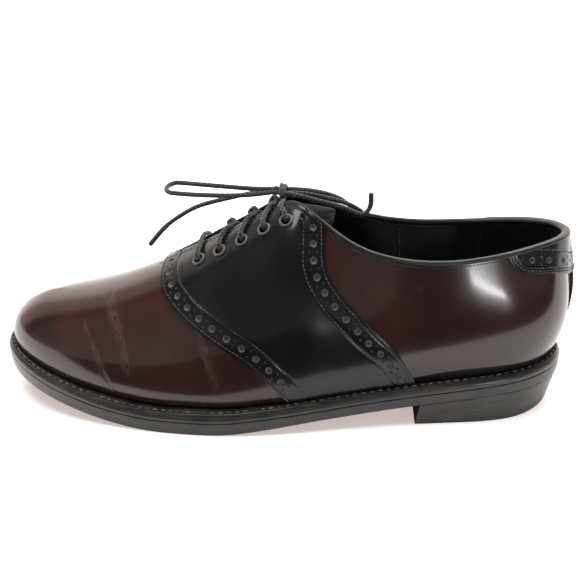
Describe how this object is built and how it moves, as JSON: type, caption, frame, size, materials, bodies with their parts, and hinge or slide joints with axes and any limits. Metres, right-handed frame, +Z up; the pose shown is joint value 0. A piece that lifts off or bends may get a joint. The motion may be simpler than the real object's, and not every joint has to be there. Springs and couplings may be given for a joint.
{
  "type": "two-tone saddle oxford shoe",
  "caption": "Left plain-toe oxford in burgundy leather with a black perforated saddle, laced front, stitched welt and low heel; an empty shoe standing on its sole.",
  "frame": {"origin": "middle of the shoe's length and width, on the floor", "axes": "+X from toe to heel, -Y towards the shoe's outer side, +Z up"},
  "size_m": [0.3038, 0.104, 0.1148],
  "materials": {
    "burgundy_leather": "polished smooth leather, dark burgundy, glossy",
    "black_leather": "polished smooth leather, black, half gloss",
    "welt_leather": "black stitched welt strip, half matt",
    "sole_leather": "black waxed sole edge, half matt",
    "heel_block": "black heel, half matt",
    "insole_board": "dark insole leather, matt",
    "eyelet_metal": "black lacquered metal rings",
    "lace_cord": "black waxed round braided cord"
  },
  "bodies": {
    "root": {"outsole": "sole_leather", "welt": "welt_leather", "heel": "heel_block", "insole": "insole_board", "upper": "burgundy_leather", "tongue": "black_leather", "saddle": "black_leather", "eyelet_lateral_1": "eyelet_metal", "eyelet_lateral_2": "eyelet_metal", "eyelet_lateral_3": "eyelet_metal", "eyelet_lateral_4": "eyelet_metal", "eyelet_lateral_5": "eyelet_metal", "eyelet_medial_1": "eyelet_metal", "eyelet_medial_2": "eyelet_metal", "eyelet_medial_3": "eyelet_metal", "eyelet_medial_4": "eyelet_metal", "eyelet_medial_5": "eyelet_metal", "lace_bar": "lace_cord", "lace_cross_1": "lace_cord", "lace_cross_2": "lace_cord", "lace_cross_3": "lace_cord", "lace_cross_4": "lace_cord", "lace_knot": "lace_cord", "lace_loop_front": "lace_cord", "lace_loop_back": "lace_cord", "lace_end_front": "lace_cord", "lace_end_back": "lace_cord"}
  },
  "joints": []
}
